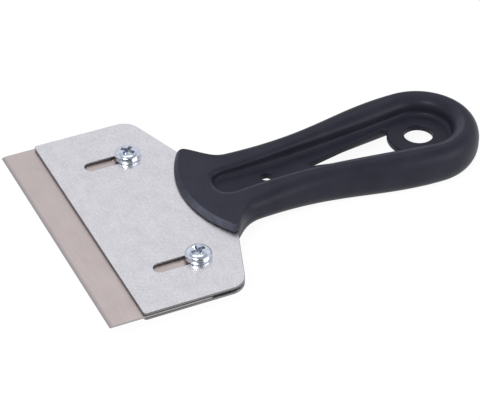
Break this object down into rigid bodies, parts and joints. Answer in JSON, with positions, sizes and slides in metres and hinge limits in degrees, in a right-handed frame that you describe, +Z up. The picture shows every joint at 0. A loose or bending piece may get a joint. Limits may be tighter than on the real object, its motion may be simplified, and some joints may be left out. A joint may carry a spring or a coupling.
{
  "type": "paint scraper",
  "caption": "Wide paint scraper: a flat steel blade clamped between slotted plates by cross-head screws and nuts, on a moulded loop handle with a hanging hole.",
  "frame": {"origin": "centre of the tool's overall box, in the middle of the blade's thickness", "axes": "+X along the tool from the cutting edge to the loop, +Y across the blade, +Z up on the screw heads' side"},
  "size_m": [0.1924, 0.12, 0.017],
  "materials": {
    "handle_plastic": "satin moulded, dark slate blue",
    "plate_zinc": "zinc-coated sheet, fine speckled satin",
    "blade_steel": "bare rolled steel, satin",
    "fastener_zinc": "bright zinc plated"
  },
  "bodies": {
    "holder": {"handle": "handle_plastic", "upper_plate": "plate_zinc", "lower_plate": "plate_zinc", "spacer": "plate_zinc"},
    "blade": {"blade": "blade_steel"},
    "left_screw": {"clamp_screw_left": "fastener_zinc"},
    "right_screw": {"clamp_screw_right": "fastener_zinc"},
    "left_nut": {"nut_left": "fastener_zinc", "washer_left": "fastener_zinc"},
    "right_nut": {"nut_right": "fastener_zinc", "washer_right": "fastener_zinc"}
  },
  "joints": [
    {"name": "blade_slide", "type": "slide", "parent": "holder", "child": "blade", "axis": [-1, 0, 0], "range_m": [0, 0.0165]},
    {"name": "left_screw_turn", "type": "hinge", "parent": "blade", "child": "left_screw", "pos_m": [-0.04845, -0.0365, 0.00175], "axis": [0, 0, 1], "range_deg": [0, 600]},
    {"name": "right_screw_turn", "type": "hinge", "parent": "blade", "child": "right_screw", "pos_m": [-0.04845, 0.0365, 0.00175], "axis": [0, 0, 1], "range_deg": [0, 600]},
    {"name": "left_nut_travel", "type": "slide", "parent": "blade", "child": "left_nut", "axis": [0, 0, -1], "range_m": [0, 0.0012]},
    {"name": "right_nut_travel", "type": "slide", "parent": "blade", "child": "right_nut", "axis": [0, 0, -1], "range_m": [0, 0.0012]}
  ],
  "couplings": [
    {"joint": "left_screw_turn", "follows": "left_nut_travel", "rad_per_m": 7854},
    {"joint": "right_screw_turn", "follows": "right_nut_travel", "rad_per_m": 7854}
  ]
}
